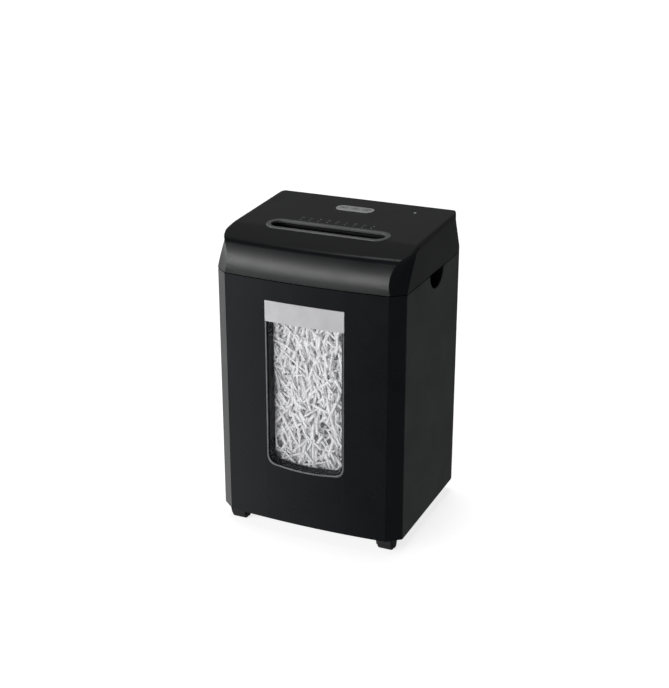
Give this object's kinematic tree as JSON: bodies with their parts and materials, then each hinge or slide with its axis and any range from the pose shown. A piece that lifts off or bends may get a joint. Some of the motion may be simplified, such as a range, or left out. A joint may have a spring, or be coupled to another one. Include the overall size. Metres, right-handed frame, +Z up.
{
  "type": "paper shredder",
  "caption": "Office paper shredder: feed slot head with meshed cutters over a pull-out bin with a window, on rollers.",
  "frame": {"origin": "on the floor, under the middle of the bounding box", "axes": "+Z up, the front with the bin window faces -Y, +X to the viewer's right when facing the front"},
  "size_m": [0.38, 0.322, 0.603],
  "materials": {
    "shell": "black moulded plastic, satin gloss",
    "bin_front": "black moulded plastic, satin gloss",
    "side": "dark grey-black plastic, fine grain",
    "inner": "black plastic, matt",
    "silver": "silver paint, satin",
    "bezel": "grey metallic paint, satin",
    "key": "dark plastic key cap",
    "clear": "clear plastic sheet, glossy",
    "paper": "white office paper, cut in strips",
    "lens": "translucent light guide",
    "board": "green circuit board",
    "cutter_steel": "hardened steel, oiled",
    "plate_steel": "zinc plated sheet",
    "motor": "black lacquered steel can",
    "bush_brass": "sintered bronze bush",
    "roller": "hard black tyre"
  },
  "bodies": {
    "cabinet": {"base_tray": "inner", "side_panel_left": "side", "side_panel_right": "side", "back_panel": "side", "corner_post_left": "shell", "corner_post_right": "shell", "front_cross_rail": "inner", "bin_guide_left": "inner", "bin_guide_right": "inner", "grip_cup_left": "inner", "grip_cup_right": "inner", "castor_fork_front_left": "inner", "castor_fork_front_right": "inner", "castor_fork_rear_left": "inner", "castor_fork_rear_right": "inner", "head_cover": "shell", "head_chassis": "inner", "slot_bezel": "bezel", "feed_throat": "inner", "control_panel": "bezel", "control_board": "board", "indicator_strip": "lens", "status_lamp": "lens", "mains_inlet": "inner", "stripper_comb_front": "inner", "stripper_comb_rear": "inner", "idler_axle": "cutter_steel", "motor_body": "motor", "side_plate_left": "plate_steel", "side_plate_right": "plate_steel", "gear_plate": "plate_steel", "tie_rod_front": "cutter_steel", "tie_rod_rear": "cutter_steel", "bearing_front_left": "bush_brass", "bearing_front_right": "bush_brass", "bearing_rear_left": "bush_brass", "bearing_rear_right": "bush_brass", "bin_switch_body": "inner"},
    "bin": {"bin_front_panel": "bin_front", "bin_tub": "inner", "window_pane": "clear", "window_trim": "silver", "pull_plate": "silver", "paper_shreds": "paper"},
    "button_reverse": {"button_reverse": "key"},
    "button_power": {"button_power": "key"},
    "button_forward": {"button_forward": "key"},
    "rocker": {"rocker_switch": "key"},
    "cutter_rear": {"cutter_rear": "cutter_steel", "sync_gear_rear": "cutter_steel", "drive_gear": "cutter_steel"},
    "cutter_front": {"cutter_front": "cutter_steel", "sync_gear_front": "cutter_steel"},
    "idler": {"idler_gear": "cutter_steel"},
    "motor_rotor": {"motor_rotor": "cutter_steel"},
    "switch_plunger": {"bin_switch_plunger": "key"},
    "wheel_front_left": {"castor_wheel_front_left": "roller"},
    "wheel_front_right": {"castor_wheel_front_right": "roller"},
    "wheel_rear_left": {"castor_wheel_rear_left": "roller"},
    "wheel_rear_right": {"castor_wheel_rear_right": "roller"}
  },
  "joints": [
    {"name": "bin_slide", "type": "slide", "parent": "cabinet", "child": "bin", "axis": [0, -1, 0], "range_m": [0, 0.25]},
    {"name": "reverse_press", "type": "slide", "parent": "cabinet", "child": "button_reverse", "axis": [0, 0.046, -0.9989], "range_m": [0, 0.0012], "stiffness_N_per_m": 900},
    {"name": "power_press", "type": "slide", "parent": "cabinet", "child": "button_power", "axis": [0, 0.046, -0.9989], "range_m": [0, 0.0012], "stiffness_N_per_m": 900},
    {"name": "forward_press", "type": "slide", "parent": "cabinet", "child": "button_forward", "axis": [0, 0.046, -0.9989], "range_m": [0, 0.0012], "stiffness_N_per_m": 900},
    {"name": "rocker_tilt", "type": "hinge", "parent": "cabinet", "child": "rocker", "pos_m": [-0.06, 0.15287, 0.558], "axis": [1, 0, 0], "range_deg": [0, 7]},
    {"name": "cutter_rear_spin", "type": "hinge", "parent": "cabinet", "child": "cutter_rear", "pos_m": [0, -0.036, 0.525], "axis": [1, 0, 0], "continuous": true},
    {"name": "cutter_front_spin", "type": "hinge", "parent": "cabinet", "child": "cutter_front", "pos_m": [0, -0.07, 0.525], "axis": [1, 0, 0], "continuous": true},
    {"name": "idler_spin", "type": "hinge", "parent": "cabinet", "child": "idler", "pos_m": [0, 0.003, 0.525], "axis": [1, 0, 0], "continuous": true},
    {"name": "motor_spin", "type": "hinge", "parent": "cabinet", "child": "motor_rotor", "pos_m": [0, 0.03675, 0.525], "axis": [1, 0, 0], "continuous": true},
    {"name": "switch_press", "type": "slide", "parent": "cabinet", "child": "switch_plunger", "axis": [0, 1, 0], "range_m": [0, 0.0025], "stiffness_N_per_m": 600},
    {"name": "roller_front_left_spin", "type": "hinge", "parent": "cabinet", "child": "wheel_front_left", "pos_m": [-0.156, -0.128, 0.013], "axis": [1, 0, 0], "continuous": true},
    {"name": "roller_front_right_spin", "type": "hinge", "parent": "cabinet", "child": "wheel_front_right", "pos_m": [0.156, -0.128, 0.013], "axis": [1, 0, 0], "continuous": true},
    {"name": "roller_rear_left_spin", "type": "hinge", "parent": "cabinet", "child": "wheel_rear_left", "pos_m": [-0.156, 0.128, 0.013], "axis": [1, 0, 0], "continuous": true},
    {"name": "roller_rear_right_spin", "type": "hinge", "parent": "cabinet", "child": "wheel_rear_right", "pos_m": [0.156, 0.128, 0.013], "axis": [1, 0, 0], "continuous": true}
  ],
  "couplings": [
    {"joint": "cutter_front_spin", "follows": "cutter_rear_spin", "ratio": -1},
    {"joint": "idler_spin", "follows": "cutter_rear_spin", "ratio": -3.3333},
    {"joint": "motor_spin", "follows": "cutter_rear_spin", "ratio": 14.667}
  ]
}
